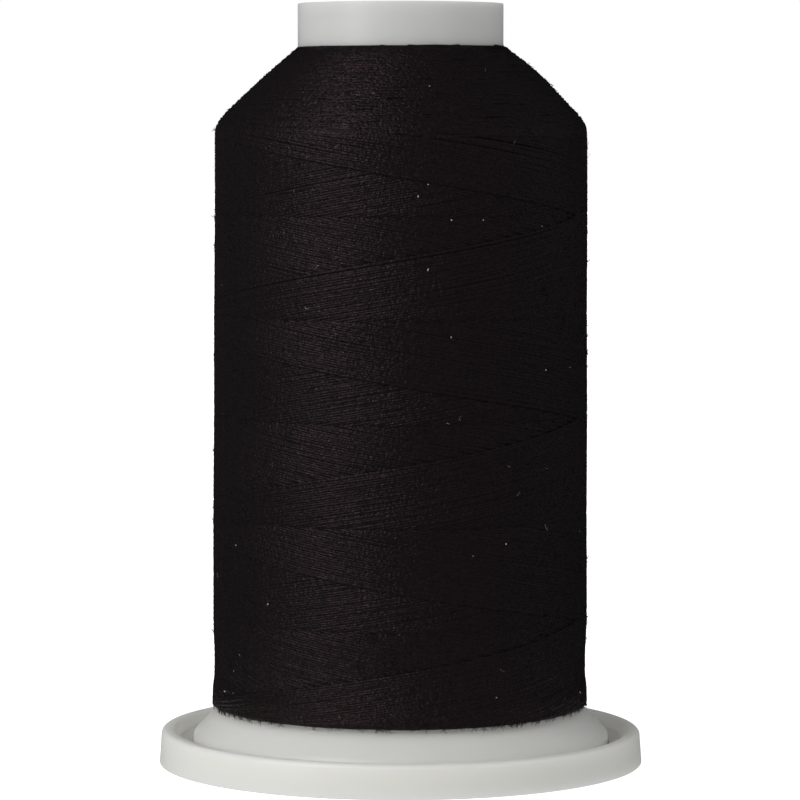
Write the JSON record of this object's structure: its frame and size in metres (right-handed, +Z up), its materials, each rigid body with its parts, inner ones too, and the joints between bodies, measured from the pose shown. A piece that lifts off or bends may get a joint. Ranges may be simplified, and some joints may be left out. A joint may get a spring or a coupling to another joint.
{
  "type": "cone of thread",
  "caption": "Cross-wound cone of black sewing thread with a conical top, on a hollow white spool whose skirt stands in a grooved round base.",
  "frame": {"origin": "the middle of the round foot, level with the surface that the cone stands on", "axes": "+Z up along the spool's axis; -Y is the side that the picture shows, +X its right"},
  "size_m": [0.0486, 0.0486, 0.076],
  "materials": {
    "spool_plastic": "milky white moulded plastic with a satin surface, slightly translucent",
    "thread": "fine twisted thread, black with a warm tint and a soft sheen along the turns"
  },
  "bodies": {
    "root": {"spool_core": "spool_plastic", "spool_base": "spool_plastic", "wound_thread": "thread"}
  },
  "joints": []
}
